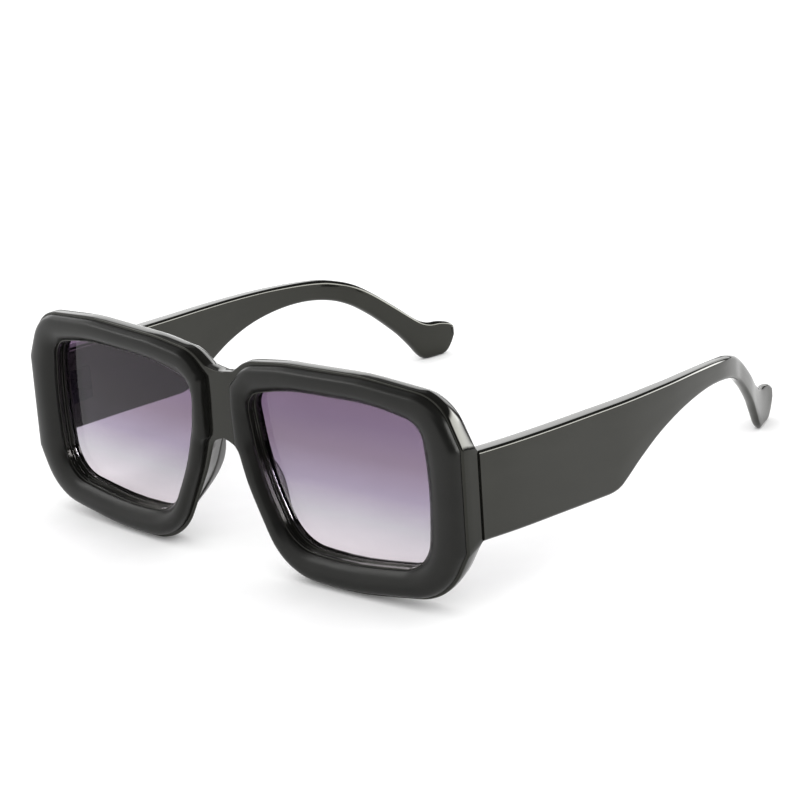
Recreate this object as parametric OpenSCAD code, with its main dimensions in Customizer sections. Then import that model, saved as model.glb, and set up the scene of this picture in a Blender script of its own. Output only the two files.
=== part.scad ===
// Sunglasses: a thick square frame with padded rims, flat tinted lenses and wide temples that fold.
// +X is the wearer's left, the front faces -Y, and the lowest points of the rims and tips are at z = 0.

/* [Lenses] */
// Width of one lens opening
lens_w = 54.5; // [48:0.5:60]
// Height of one lens opening
lens_h = 41; // [36:0.5:46]
// Thickness of a lens
lens_t = 1.5; // [1.2:0.1:1.8]
// Depth of the lens face behind the front of the frame plate
lens_depth = 3; // [2.8:0.1:3.2]
// How far the lens edge reaches into its groove
lens_seat = 0.6; // [0.4:0.1:0.8]
// Clearance round a lens in its groove
lens_clear = 0.05; // [0.03:0.01:0.1]

/* [Front] */
// Distance between the two lens openings
bridge_w = 18.6; // [17:0.2:21]
// Height of the bridge at its centre
bridge_h = 17; // [14:0.5:18]
// Height of the top of the nose arch above the table
nose_arch_h = 32.1; // [30:0.1:34]
// Width of the flat recess between the two padded rims
bridge_flat_w = 8; // [6:0.5:10]
// Rounding of the padded faces beside the recess
bridge_flat_round = 4; // [2:0.5:6]
// Width of the rim outside a lens opening
rim_side_w = 10.2; // [9:0.2:12]
// Width of the rim above a lens opening
rim_top_w = 6.8; // [5:0.2:9]
// Width of the rim below a lens opening
rim_bottom_w = 7.6; // [6:0.2:9]
// Thickness of the frame plate
plate_t = 5.2; // [5:0.1:6]
// Height that the padded face of a rim stands above the plate
padding_h = 2.5; // [1.5:0.1:3]
// Width of the plate's edge outside the padded face
plate_edge_w = 0.7; // [0.5:0.1:1]
// Rounding of the edges of the plate
plate_round = 0.5; // [0.3:0.1:0.6]
// Radius that the front is bent to
front_r = 725; // [500:25:1000]
// Angle that the front leans backwards, in degrees
front_lean = 1.5; // [0.5:0.5:3]

/* [Nose pads] */
// How far a nose pad stands behind the plate
pad_reach = 4; // [3:0.1:4.5]
// How far the rear edge of a pad lies outside its root
pad_slant = 1.4; // [1:0.1:2]
// Thickness of a pad along its rear edge
pad_edge_t = 1.8; // [1.4:0.1:2]
// Glue line under a pad
pad_glue = 0.05; // [0.03:0.01:0.1]

/* [Temples] */
// Reach of the temples behind the front of the bridge
temple_reach = 149.3; // [140:0.5:160]
// Height of a temple at its hinge
temple_h = 22; // [20:0.5:24]
// Height of the hinge centre above the table
hinge_z = 28.7; // [27.5:0.1:30]
// Thickness of a temple
temple_t = 4.4; // [4:0.1:5]
// Rounding of the edges of a temple
temple_round = 0.9; // [0.6:0.1:1.2]
// Gap between the end of an open temple and the front
temple_gap = 0.12; // [0.08:0.01:0.2]

/* [Hinges] */
// Distance of the hinge axis inside the flank of the front
hinge_inset = 5; // [4.8:0.1:5.4]
// Radius of the hinge barrel
barrel_r = 1.5; // [1.4:0.1:1.6]
// Height of one of the five knuckles
knuckle_h = 1.8; // [1.6:0.1:2]
// Gap between neighbouring knuckles
knuckle_gap = 0.1; // [0.06:0.01:0.16]
// Clearance round the barrel
barrel_clear = 0.3; // [0.2:0.05:0.4]
// Radius of the hinge screw's shank
screw_r = 0.7; // [0.6:0.05:0.8]
// Clearance round the shank in the knuckles
screw_clear = 0.04; // [0.03:0.01:0.08]
// Radius of the screw head
screw_head_r = 1.25; // [1.1:0.05:1.4]
// Height of the screw head
screw_head_h = 0.7; // [0.5:0.05:0.9]
// Width of the slot in the screw head
screw_slot_w = 0.4; // [0.3:0.05:0.5]
// Clearance above the screw head
head_clear = 0.5; // [0.3:0.1:0.8]
// Thickness of a hinge leaf
leaf_t = 1.1; // [1:0.1:1.2]
// Length of the leaf on the front
front_leaf_l = 5; // [4.4:0.1:5]
// Length of the leaf on the temple
temple_leaf_l = 8; // [7:0.5:10]
// Clearance round a leaf in its pocket
leaf_clear = 0.05; // [0.03:0.01:0.1]
// Radius of a leaf's anchor pins
pin_r = 0.6; // [0.5:0.05:0.7]
// Depth of the anchor pins in the plastic
pin_depth = 2; // [1.6:0.1:2.2]
// Clearance round a pin in its hole
pin_clear = 0.02; // [0.01:0.01:0.04]

/* [Hidden] */

// Colours of the black plastic, the tinted lenses, the pads, the plated leaves and the bright screws
frame_colour = "#1b1b1c";
lens_colour = "#8c8098";
pad_colour = "#2a292c";
plated_colour = "#3a393c";
steel_colour = "#b9bbbe";

// Number of sides drawn on round metal parts
$fn = 48;
// Angle of one step along a rounded corner
corner_step = 7;
// Longest straight step along an outline, as a share of the lens width
longest_step_share = 0.16;
// Overrun of cuts
over = 1;

half_w = bridge_w / 2 + lens_w + rim_side_w;
front_h = rim_bottom_w + lens_h + rim_top_w;
bridge_top = nose_arch_h + bridge_h;
front_y = (padding_h - temple_reach) / 2;
// Place inside a lens opening that the rays of the rim start from
rim_centre = [bridge_w / 2 + lens_w / 2, rim_bottom_w + lens_h / 2];

// Height that the flank is taller than the temple, above and below
flank_extra_share = 0.077;
flank_extra = temple_h * flank_extra_share;
flank_top = hinge_z + temple_h / 2 + flank_extra;
flank_bottom = hinge_z - temple_h / 2 - flank_extra;

// Bevel round the back of the plate, and the share of its depth that the bevel starts at
back_bevel_share = 0.23;
back_bevel_from = 0.5;
// Bevel over the whole depth of the nose edge: shares of the front's height, and of the plate's thickness
nose_bevel_shares = [
    [0.1, 0.8], [0.145, 0.85], [0.18, 0.78], [0.235, 0.58], [0.29, 0.42], [0.343, 0.35], [0.45, 0.33],
    [0.6, 0.3],
];
// Shares of the half width between which that bevel gives way to the other one
nose_fade_shares = [0.18, 0.3];

// Outline of half the plate: shares of the half width and the height, then the corner's radius as a share
// of the height
top_edge_shares = [[0.127, 0.961, 0.18], [0.297, 0.989, 0.9], [0.626, 1, 1.1], [0.924, 0.962, 0.2]];
bottom_edge_shares = [[0.912, 0.06, 0.29], [0.568, 0, 1.2], [0.432, 0, 0.9], [0.251, 0.009, 0.32]];
nose_edge_shares = [[0.097, 0.399, 0.54], [0.053, 0.552, 0.07]];
// Corner between the bridge and the top edge, as shares of the half width and the height
bridge_corner_shares = [0.062, 0.012, 0.07];

// Outline of a lens opening: shares of its width and height, with corner radii as shares of the height
opening_shares = [
    [-0.008, 0.905, 0.117], [0.247, 0.991, 1.49], [0.721, 1.003, 1.479], [0.974, 0.937, 0.135],
    [1.011, 0.584, 2.253], [0.978, 0.062, 0.225], [0.534, -0.008, 2.345], [0.214, 0.017, 0.289],
    [0.09, 0.346, 1.32], [0.035, 0.555, 1.403],
];

// Padded face: place between the plate's edge and the opening, and height as a share of the padding's
padding_shares = [
    [0.015, 0.28], [0.045, 0.52], [0.1, 0.75], [0.18, 0.9], [0.29, 0.98], [0.43, 1],
    [0.58, 0.94], [0.73, 0.76], [0.87, 0.44], [0.97, 0.1],
];

// Top and bottom edges of a temple: shares of the reach, and heights as shares of the temple's top at
// the hinge
temple_top_shares = [
    [0.066, 1], [0.224, 0.95], [0.389, 0.905], [0.516, 0.874], [0.636, 0.837], [0.73, 0.791],
    [0.77, 0.747], [0.8, 0.696], [0.832, 0.612], [0.871, 0.487], [0.92, 0.321], [0.943, 0.276],
    [0.967, 0.264], [0.989, 0.237], [1, 0.207],
];
temple_bottom_shares = [
    [0.066, 0.444], [0.15, 0.416], [0.234, 0.391], [0.3, 0.37], [0.345, 0.356], [0.368, 0.351],
    [0.388, 0.361], [0.407, 0.399], [0.442, 0.477], [0.499, 0.576], [0.563, 0.644], [0.63, 0.673],
    [0.693, 0.664], [0.75, 0.617], [0.79, 0.546], [0.828, 0.437], [0.851, 0.356], [0.869, 0.287],
    [0.884, 0.225], [0.903, 0.13], [0.926, 0.013], [0.951, 0], [0.977, 0.008], [0.991, 0.062], [1, 0.13],
];
// Outer face of a temple seen from above: shares of the reach and of the half width
temple_plan_shares = [
    [0.034, 1], [0.134, 1.0175], [0.234, 1.027], [0.335, 1.033], [0.435, 1.038], [0.536, 1.032],
    [0.603, 1.02], [0.67, 1.002], [0.723, 0.983], [0.77, 0.955], [0.804, 0.927], [0.837, 0.903],
    [0.871, 0.877], [0.904, 0.847], [0.938, 0.819], [0.97, 0.797], [1, 0.781],
];
// Thickness of a temple: shares of the reach and of its thickness at the hinge
temple_t_shares = [[0.066, 1], [0.35, 0.97], [0.6, 0.8], [0.75, 0.72], [0.87, 0.66], [0.94, 0.52], [1, 0.42]];
// Number of slices along a temple, and how they draw together towards the tip
temple_slices = 44;
slice_bias_share = 1.35;
// Share of the section that the blunt end of the tip keeps
tip_end_share = 0.6;
// Largest rounding of a temple's edges, as a share of the section's height or thickness
edge_round_share = 0.4;
// Place of the last slope that is measured along a temple, and half the step it is measured over
slope_last_share = 0.98;
slope_step_share = 0.01;

// Rear edge of a nose pad: shares of the front's height, of the pad's reach and of its slant
pad_shares = [
    [0.565, 0.12, 0.15], [0.54, 0.3, 0.3], [0.505, 0.55, 0.55], [0.45, 0.88, 0.88], [0.4, 1, 1],
    [0.343, 0.9, 0.9], [0.29, 0.64, 0.7], [0.235, 0.4, 0.5], [0.18, 0.22, 0.4], [0.145, 0.1, 0.2],
];
// Thinnest rear edge of a pad, as a share of its full thickness
pad_thin_share = 0.5;
// Section of a pad: shares of its thickness outside the rear edge, and of its reach
pad_section_shares = [[0.75, 0.6], [0.4, 0.95], [0, 1], [-0.35, 0.9]];
// The same for the nose side: shares of the slant from the root, and of its reach
pad_inner_shares = [[0.35, 0.55]];

// Seat of the temple's leaf, as a share of the barrel's radius beside the hinge axis
leaf_seat_share = 0.87;
// Places of the anchor pins, as shares of the leaves' lengths
front_pin_share = 0.33;
temple_pin_share = 0.6;

// Hinge axis and the seats of the two leaves
hinge_x = half_w - hinge_inset;
leaf_h = 5 * knuckle_h;
front_leaf_x = hinge_x + barrel_r - front_leaf_l;
front_leaf_y = plate_y(front_leaf_x, hinge_z - leaf_h / 2) + plate_t - leaf_t;
hinge_y = plate_y(hinge_x, hinge_z + leaf_h / 2) + plate_t + barrel_clear + barrel_r;
temple_leaf_x = hinge_x + barrel_r * leaf_seat_share;
temple_leaf_y = hinge_y + barrel_r + barrel_clear;
// Height of the anchor pins from the hinge centre
pin_offset = leaf_h / 4;

// The place of the plate's front surface, bent sideways and leaning back
function plate_y(x, z) = front_y + x * x / (2 * front_r) + z * tan(front_lean);

function unit(v) = v / norm(v);
function flat_cross(a, b) = a[0] * b[1] - a[1] * b[0];

// Points along a path of [x, z, radius] corners, with each corner rounded
function corner_points(a, p, b) =
    let (
        u = unit([a[0] - p[0], a[1] - p[1]]),
        v = unit([b[0] - p[0], b[1] - p[1]]),
        half = acos(u * v) / 2,
        turn = 180 - 2 * half,
        reach = p[2] * tan(turn / 2),
        steps = max(1, ceil(turn / corner_step)),
        middle = [p[0], p[1]] + unit(u + v) * p[2] / sin(half),
        from = [p[0], p[1]] + u * reach - middle,
        side = sign(flat_cross(-u, v))
    )
    p[2] == 0 ? [[p[0], p[1]]] : [
        for (i = [0:steps])
            let (w = side * turn * i / steps)
            middle + [from[0] * cos(w) - from[1] * sin(w), from[0] * sin(w) + from[1] * cos(w)]
    ];

function round_path(c) = [
    for (i = [0:len(c) - 1])
        for (p = corner_points(c[(i + len(c) - 1) % len(c)], c[i], c[(i + 1) % len(c)])) p
];

// The same closed path with its long straight steps divided
function divide(path, longest) = [
    for (i = [0:len(path) - 1])
        let (a = path[i], b = path[(i + 1) % len(path)], steps = max(1, ceil(norm(b - a) / longest)))
        for (k = [0:steps - 1]) a + (b - a) * k / steps
];

// Distance from a place to a closed path in one direction
function reach_to(path, from, way) = max([
    for (i = [0:len(path) - 1])
        let (
            a = path[i] - from,
            e = path[(i + 1) % len(path)] - path[i],
            det = flat_cross(way, e)
        )
        det == 0 ? 0 : let (t = flat_cross(a, e) / det, s = flat_cross(a, way) / det)
            (s > -1e-6 && s < 1 + 1e-6) ? t : 0
]);

// Smooth curve through a table of [place, value, value] rows
function row_before(table, x, i = 0) =
    (i >= len(table) - 2 || x <= table[i + 1][0]) ? i : row_before(table, x, i + 1);
function row_slope(table, i, c) =
    let (a = max(i - 1, 0), b = min(i + 1, len(table) - 1))
    (table[b][c] - table[a][c]) / (table[b][0] - table[a][0]);
function curve(table, x, c = 1) =
    let (
        i = row_before(table, x),
        h = table[i + 1][0] - table[i][0],
        t = (x - table[i][0]) / h,
        m = row_slope(table, i, c) * h,
        n = row_slope(table, i + 1, c) * h
    )
    (2 * pow(t, 3) - 3 * pow(t, 2) + 1) * table[i][c] + (pow(t, 3) - 2 * pow(t, 2) + t) * m
    + (3 * pow(t, 2) - 2 * pow(t, 3)) * table[i + 1][c] + (pow(t, 3) - pow(t, 2)) * n;

// Outline of half the plate, from the top of the bridge round the rim to the nose arch
function edge_corner(s) = [s[0] * half_w, s[1] * front_h, s[2] * front_h];
half_outline = round_path(concat(
    [[0, bridge_top, 0]],
    [[
        bridge_corner_shares[0] * half_w,
        bridge_top + bridge_corner_shares[1] * front_h,
        bridge_corner_shares[2] * front_h
    ]],
    [for (s = top_edge_shares) edge_corner(s)],
    [[half_w, flank_top, 0], [half_w, flank_bottom, 0]],
    [for (s = bottom_edge_shares) edge_corner(s)],
    [for (s = nose_edge_shares) edge_corner(s)],
    [[0, nose_arch_h, 0]]
));
opening = round_path([
    for (s = opening_shares)
        [bridge_w / 2 + s[0] * lens_w, rim_bottom_w + s[1] * lens_h, s[2] * lens_h]
]);

// Stations round the rim: a place on the plate's outline, on the padding's edge and on the opening
stations = divide(half_outline, lens_w * longest_step_share);
count = len(stations);
function way(i) = unit(rim_centre - stations[i]);
function on_middle(i) = stations[i][0] < 1e-6;
function rounded_max(a, b, round) = (a + b + sqrt(pow(a - b, 2) + pow(round, 2))) / 2;
function padding_start(i) =
    let (to_recess = (bridge_flat_w / 2 - stations[i][0]) / max(way(i)[0], 0.01))
    stations[i] + way(i) * rounded_max(plate_edge_w, to_recess, bridge_flat_round);
opening_edge = [for (i = [0:count - 1]) rim_centre - way(i) * reach_to(opening, rim_centre, -way(i))];
padding_edge = [for (i = [0:count - 1]) padding_start(i)];

// Way into the plate, square to its outline
function inwards(i) =
    on_middle(i) ? [0, 1 - 2 * (stations[i][1] - nose_arch_h) / bridge_h] :
    let (e = unit(stations[(i + 1) % count] - stations[(i + count - 1) % count])) [e[1], -e[0]];

// The outline drawn in towards the back: to the temple's height at the flank, and by a bevel elsewhere
function flank_share(p) = max(0, 1 - (half_w - p[0]) / rim_side_w);
function nose_share(p) =
    let (fade = (nose_fade_shares[1] - p[0] / half_w) / (nose_fade_shares[1] - nose_fade_shares[0]))
    p[1] > nose_arch_h ? 0 : max(0, min(1, fade));
function nose_bevel(z) =
    let (first = nose_bevel_shares[0][0], last = nose_bevel_shares[len(nose_bevel_shares) - 1][0])
    plate_t * curve(nose_bevel_shares, max(first, min(last, z / front_h)));
function drawn_in(i, depth_share, inset) =
    let (
        p = stations[i],
        on_flank = p[0] > half_w - 1e-6,
        taper = flank_extra * flank_share(p) * min(1, abs(p[1] - hinge_z) / (temple_h / 2)),
        back_bevel = plate_t * back_bevel_share * (1 - flank_share(p))
            * max(0, (depth_share - back_bevel_from) / (1 - back_bevel_from)),
        nose = nose_share(p),
        bevel = back_bevel * (1 - nose) + nose_bevel(p[1]) * nose * depth_share
    )
    p - [0, sign(p[1] - hinge_z) * taper * depth_share]
    + inwards(i) * (bevel + (on_flank ? 0 : inset * (1 - nose)));

// One section through the rim at station i, as [x, z, depth] from the front of the plate
function in_from(i, inset) = on_middle(i) ? stations[i] : stations[i] + way(i) * inset;
function place(p, depth) = [p[0], p[1], depth];
function rim_section(i) = concat(
    [place(stations[i], plate_round)],
    [place(in_from(i, plate_round), 0)],
    [place(padding_edge[i], 0)],
    [
        for (s = padding_shares)
            place(padding_edge[i] + (opening_edge[i] - padding_edge[i]) * s[0], -padding_h * s[1])
    ],
    [place(opening_edge[i], plate_round / 2)],
    [place(opening_edge[i], lens_depth - lens_clear)],
    [place(opening_edge[i] - way(i) * (lens_seat + lens_clear), lens_depth - lens_clear)],
    [place(opening_edge[i] - way(i) * (lens_seat + lens_clear), lens_depth + lens_t + lens_clear)],
    [place(opening_edge[i], lens_depth + lens_t + lens_clear)],
    [place(opening_edge[i], plate_t)],
    [place(drawn_in(i, 1, plate_round), plate_t)],
    [place(drawn_in(i, 1 - plate_round / plate_t, 0), plate_t - plate_round)],
    [place(drawn_in(i, back_bevel_from, 0), plate_t * back_bevel_from)]
);
// The rows of a section that lie on the middle plane, and the row count
rows = len(rim_section(0));
middle_rows = [rows - 3, rows - 2, rows - 1, 0];

function in_space(p) = [p[0], plate_y(p[0], p[1]) + p[2], p[1]];
function mirrored(p) = [-p[0], p[1], p[2]];

module front_shell() {
    half = [for (i = [0:count - 1]) for (p = rim_section(i)) in_space(p)];
    total = count * rows;
    function index(side, i, j) =
        let (k = (i % count) * rows + j % rows)
        side == 0 || half[k][0] < 1e-6 ? k : k + total;
    function between_halves(i) = on_middle(i) && on_middle((i + 1) % count);
    function closed(i, j) = !between_halves(i) || len(search(j, middle_rows)) == 0;
    faces = [
        for (side = [0, 1])
            for (i = [0:count - 1])
                for (j = [0:rows - 1])
                    if (closed(i, j))
                        let (
                            a = index(side, i, j),
                            b = index(side, i + 1, j),
                            c = index(side, i + 1, j + 1),
                            d = index(side, i, j + 1)
                        )
                        for (f = side == 0 ? [[a, b, c], [a, c, d]] : [[a, c, b], [a, d, c]]) f
    ];
    polyhedron(concat(half, [for (p = half) mirrored(p)]), faces, convexity = 10);
}

// Copies what is drawn for the wearer's left onto the side asked for
module on_side(side) {
    if (side > 0) children();
    else mirror([1, 0, 0]) children();
}

module front_leaf_pocket() {
    translate([
        front_leaf_x - leaf_clear,
        front_leaf_y,
        hinge_z - leaf_h / 2 - leaf_clear
    ])
        cube([front_leaf_l + 2 * leaf_clear + over, plate_t, leaf_h + 2 * leaf_clear]);
}

module front_pin_shape(level, r, l) {
    translate([
        front_leaf_x + front_leaf_l * front_pin_share,
        front_leaf_y + leaf_t,
        hinge_z + level * pin_offset
    ])
        rotate([90, 0, 0])
            cylinder(r = r, h = l);
}

module temple_pin_shape(level, r, l) {
    translate([
        temple_leaf_x,
        temple_leaf_y + temple_leaf_l * temple_pin_share,
        hinge_z + level * pin_offset
    ])
        rotate([0, 90, 0])
            cylinder(r = r, h = l);
}

module front_frame() {
    color(frame_colour)
        difference() {
            front_shell();
            for (side = [1, -1]) on_side(side) {
                front_leaf_pocket();
                for (level = [1, -1])
                    front_pin_shape(level, pin_r + pin_clear, leaf_t + pin_depth + pin_clear);
            }
        }
}

module lens(side) {
    edge = [for (i = [0:count - 1]) opening_edge[i] - way(i) * lens_seat];
    // Rings from the centre outwards, as shares of the lens's half size
    ring_shares = [0.5, 1];
    depths = [lens_depth, lens_depth + lens_t];
    points = [
        for (depth = depths)
            for (s = concat([0], ring_shares))
                for (i = [0:s == 0 ? 0 : count - 1])
                    in_space(place(rim_centre + (edge[i] - rim_centre) * s, depth))
    ];
    face_size = 1 + 2 * count;
    function at(face, ring, i) = face * face_size + (ring < 0 ? 0 : 1 + ring * count + i % count);
    faces = concat(
        [for (i = [0:count - 1]) [at(0, -1, 0), at(0, 0, i), at(0, 0, i + 1)]],
        [for (i = [0:count - 1]) [at(0, 0, i), at(0, 1, i), at(0, 1, i + 1)]],
        [for (i = [0:count - 1]) [at(0, 0, i), at(0, 1, i + 1), at(0, 0, i + 1)]],
        [for (i = [0:count - 1]) [at(1, -1, 0), at(1, 0, i + 1), at(1, 0, i)]],
        [for (i = [0:count - 1]) [at(1, 0, i), at(1, 1, i + 1), at(1, 1, i)]],
        [for (i = [0:count - 1]) [at(1, 0, i), at(1, 0, i + 1), at(1, 1, i + 1)]],
        [for (i = [0:count - 1]) [at(0, 1, i), at(1, 1, i), at(1, 1, i + 1)]],
        [for (i = [0:count - 1]) [at(0, 1, i), at(1, 1, i + 1), at(0, 1, i + 1)]]
    );
    color(lens_colour, 0.6)
        on_side(side)
            polyhedron(points, faces, convexity = 4);
}

// A closed tube of sections, with flat ends
module loft(sections) {
    n = len(sections[0]);
    last = len(sections) - 1;
    faces = concat(
        [
            for (k = [0:last - 1])
                for (i = [0:n - 1])
                    for (f = [
                        [k * n + i, k * n + (i + 1) % n, (k + 1) * n + (i + 1) % n],
                        [k * n + i, (k + 1) * n + (i + 1) % n, (k + 1) * n + i]
                    ]) f
        ],
        [for (i = [1:n - 2]) [0, i + 1, i]],
        [for (i = [1:n - 2]) [last * n, last * n + i, last * n + i + 1]]
    );
    polyhedron([for (s = sections) for (p = s) p], faces, convexity = 6);
}

module nose_pad(side) {
    back = plate_t + pad_glue;
    function nose_x(z) = rim_centre[0] - reach_to(half_outline, [rim_centre[0], z], [-1, 0]);
    sections = [
        for (s = pad_shares)
            let (
                z = s[0] * front_h,
                root = nose_x(z) + nose_bevel(z),
                reach = s[1] * pad_reach,
                rear = root + s[2] * pad_slant,
                thick = pad_edge_t * (pad_thin_share + (1 - pad_thin_share) * s[1])
            )
            concat(
                [in_space([root, z, back]), in_space([rear + thick, z, back])],
                [for (c = pad_section_shares) in_space([rear + c[0] * thick, z, back + c[1] * reach])],
                [for (c = pad_inner_shares) in_space([root + c[0] * (rear - root), z, back + c[1] * reach])]
            )
    ];
    color(pad_colour)
        on_side(side)
            loft(sections);
}

// Temple sections, from the hinge end to the tip
temple_top = hinge_z + temple_h / 2;
temple_from = temple_top_shares[0][0];
function temple_place(k) =
    temple_from + (1 - temple_from) * (1 - pow(1 - k / temple_slices, slice_bias_share));
function temple_x(s) = half_w * curve(temple_plan_shares, s);
function temple_slope(s) =
    (temple_x(s + slope_step_share) - temple_x(s - slope_step_share))
    / (2 * slope_step_share * temple_reach);
function temple_section(k) =
    let (
        s = temple_place(k),
        outer = temple_x(s),
        slope = temple_slope(min(s, slope_last_share)),
        across = temple_t * curve(temple_t_shares, s) * sqrt(1 + pow(slope, 2)),
        top = temple_top * curve(temple_top_shares, s),
        bottom = max(0, temple_top * curve(temple_bottom_shares, s)),
        end = k == temple_slices ? tip_end_share : 1,
        r = min(temple_round, (top - bottom) * edge_round_share, across * edge_round_share),
        middle = outer - across / 2,
        half = end * (across / 2 - r),
        corners = [
            [middle + half, top - r, 0],
            [middle - half, top - r, 90],
            [middle - half, bottom + r, 180],
            [middle + half, bottom + r, 270]
        ]
    )
    [
        for (c = corners)
            for (w = [0, 45, 90])
                let (x = c[0] + r * cos(c[2] + w), z = c[1] + r * sin(c[2] + w))
                [x, k == 0 ? plate_y(x, z) + plate_t + temple_gap : front_y + s * temple_reach, z]
    ];

module temple(side) {
    color(frame_colour)
        on_side(side)
            difference() {
                loft([for (k = [temple_slices:-1:0]) temple_section(k)]);
                // Room for the barrel
                translate([hinge_x, hinge_y, hinge_z - leaf_h / 2 - leaf_clear])
                    cylinder(
                        r = barrel_r + barrel_clear,
                        h = leaf_h + 2 * leaf_clear + screw_head_h + head_clear
                    );
                // Seat of the leaf
                translate([
                    temple_leaf_x - over - leaf_t,
                    hinge_y - leaf_clear,
                    hinge_z - leaf_h / 2 - leaf_clear
                ])
                    cube([
                        over + 2 * leaf_t,
                        temple_leaf_y - hinge_y + temple_leaf_l + 2 * leaf_clear,
                        leaf_h + 2 * leaf_clear
                    ]);
                for (level = [1, -1])
                    temple_pin_shape(level, pin_r + pin_clear, leaf_t + pin_depth + pin_clear);
            }
}

// One knuckle of the hinge, counted from the bottom, with its web towards a leaf
module knuckle(level, web_from, web_size) {
    translate([0, 0, hinge_z - leaf_h / 2 + level * knuckle_h + knuckle_gap / 2]) {
        translate([hinge_x, hinge_y, 0])
            cylinder(r = barrel_r, h = knuckle_h - knuckle_gap);
        translate(web_from)
            cube([web_size[0], web_size[1], knuckle_h - knuckle_gap]);
    }
}

module knuckle_bore() {
    translate([hinge_x, hinge_y, hinge_z - leaf_h / 2 - over])
        cylinder(r = screw_r + screw_clear, h = leaf_h + 2 * over);
}

module front_leaf(side) {
    color(plated_colour)
        on_side(side)
            difference() {
                union() {
                    translate([front_leaf_x, front_leaf_y, hinge_z - leaf_h / 2])
                        cube([front_leaf_l, leaf_t, leaf_h]);
                    for (level = [0, 2, 4])
                        knuckle(
                            level,
                            [hinge_x - barrel_r, front_leaf_y + leaf_t / 2, 0],
                            [barrel_r, hinge_y - front_leaf_y - leaf_t / 2]
                        );
                }
                knuckle_bore();
                for (level = [1, -1])
                    front_pin_shape(level, pin_r + pin_clear, leaf_t + pin_depth);
            }
}

module temple_leaf(side) {
    color(plated_colour)
        on_side(side)
            difference() {
                union() {
                    translate([temple_leaf_x, temple_leaf_y, hinge_z - leaf_h / 2])
                        cube([leaf_t, temple_leaf_l, leaf_h]);
                    for (level = [1, 3])
                        knuckle(
                            level,
                            [hinge_x, hinge_y, 0],
                            [temple_leaf_x - hinge_x + leaf_t, temple_leaf_y - hinge_y + leaf_t]
                        );
                }
                knuckle_bore();
                for (level = [1, -1])
                    temple_pin_shape(level, pin_r + pin_clear, leaf_t + pin_depth);
            }
}

module hinge_screw(side) {
    color(steel_colour)
        on_side(side)
            translate([hinge_x, hinge_y, hinge_z - leaf_h / 2])
                difference() {
                    union() {
                        cylinder(r = screw_r, h = leaf_h);
                        translate([0, 0, leaf_h]) cylinder(r = screw_head_r, h = screw_head_h);
                    }
                    translate([-screw_head_r - over, -screw_slot_w / 2, leaf_h + screw_head_h / 2])
                        cube([2 * (screw_head_r + over), screw_slot_w, screw_head_h]);
                }
}

module front_pin(side, level) {
    color(plated_colour) on_side(side) front_pin_shape(level, pin_r, leaf_t + pin_depth);
}

module temple_pin(side, level) {
    color(plated_colour) on_side(side) temple_pin_shape(level, pin_r, leaf_t + pin_depth);
}

front_frame();
lens(1);  // left_lens
lens(-1);  // right_lens
nose_pad(1);  // left_nose_pad
nose_pad(-1);  // right_nose_pad
temple(1);  // left_temple
temple(-1);  // right_temple
front_leaf(1);  // left_front_leaf
front_leaf(-1);  // right_front_leaf
temple_leaf(1);  // left_temple_leaf
temple_leaf(-1);  // right_temple_leaf
hinge_screw(1);  // left_hinge_screw
hinge_screw(-1);  // right_hinge_screw
front_pin(1, 1);  // left_front_pin_upper
front_pin(1, -1);  // left_front_pin_lower
front_pin(-1, 1);  // right_front_pin_upper
front_pin(-1, -1);  // right_front_pin_lower
temple_pin(1, 1);  // left_temple_pin_upper
temple_pin(1, -1);  // left_temple_pin_lower
temple_pin(-1, 1);  // right_temple_pin_upper
temple_pin(-1, -1);  // right_temple_pin_lower
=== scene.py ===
"""Black sunglasses: padded square rims, graduated lenses and wide folding temples, on a white sweep."""

import math

import bmesh
import bpy
import numpy as np
from mathutils import Matrix, Vector


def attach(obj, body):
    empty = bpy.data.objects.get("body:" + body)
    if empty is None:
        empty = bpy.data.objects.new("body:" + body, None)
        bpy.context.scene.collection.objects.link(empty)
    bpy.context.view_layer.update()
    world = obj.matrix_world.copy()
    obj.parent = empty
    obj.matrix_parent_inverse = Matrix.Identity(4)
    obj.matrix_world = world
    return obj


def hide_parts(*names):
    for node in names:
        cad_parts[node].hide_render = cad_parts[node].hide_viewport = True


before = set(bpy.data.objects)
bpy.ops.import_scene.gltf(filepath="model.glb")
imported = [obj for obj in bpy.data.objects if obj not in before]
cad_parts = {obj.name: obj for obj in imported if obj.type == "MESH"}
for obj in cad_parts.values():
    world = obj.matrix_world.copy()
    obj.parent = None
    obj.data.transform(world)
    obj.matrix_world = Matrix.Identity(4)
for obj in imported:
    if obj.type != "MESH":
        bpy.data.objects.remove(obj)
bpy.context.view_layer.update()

# One millimetre in metres
MM = 0.001

# Sizes in millimetres, and shares of them, as the part has them

LENS_W, LENS_H, LENS_T, LENS_DEPTH, LENS_SEAT = 54.5, 41.0, 1.5, 3.0, 0.6
BRIDGE_W, BRIDGE_H, NOSE_ARCH_H, BRIDGE_FLAT_W, BRIDGE_FLAT_ROUND = 18.6, 17.0, 32.1, 8.0, 4.0
RIM_SIDE_W, RIM_TOP_W, RIM_BOTTOM_W = 10.2, 6.8, 7.6
PLATE_T, PADDING_H, PLATE_EDGE_W, PLATE_ROUND = 5.2, 2.5, 0.7, 0.5
FRONT_R, FRONT_LEAN = 725.0, math.radians(1.5)
PAD_REACH, PAD_SLANT, PAD_EDGE_T, PAD_THIN, PAD_GLUE = 4.0, 1.4, 1.8, 0.5, 0.05
TEMPLE_REACH, TEMPLE_H, HINGE_Z, TEMPLE_T, TEMPLE_ROUND, TEMPLE_GAP = 149.3, 22.0, 28.7, 4.4, 0.9, 0.12
HINGE_INSET, BARREL_R, KNUCKLE_H, KNUCKLES, BARREL_CLEAR = 5.0, 1.5, 1.8, 5, 0.3
SCREW_HEAD_H, HEAD_CLEAR = 0.7, 0.5
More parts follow.
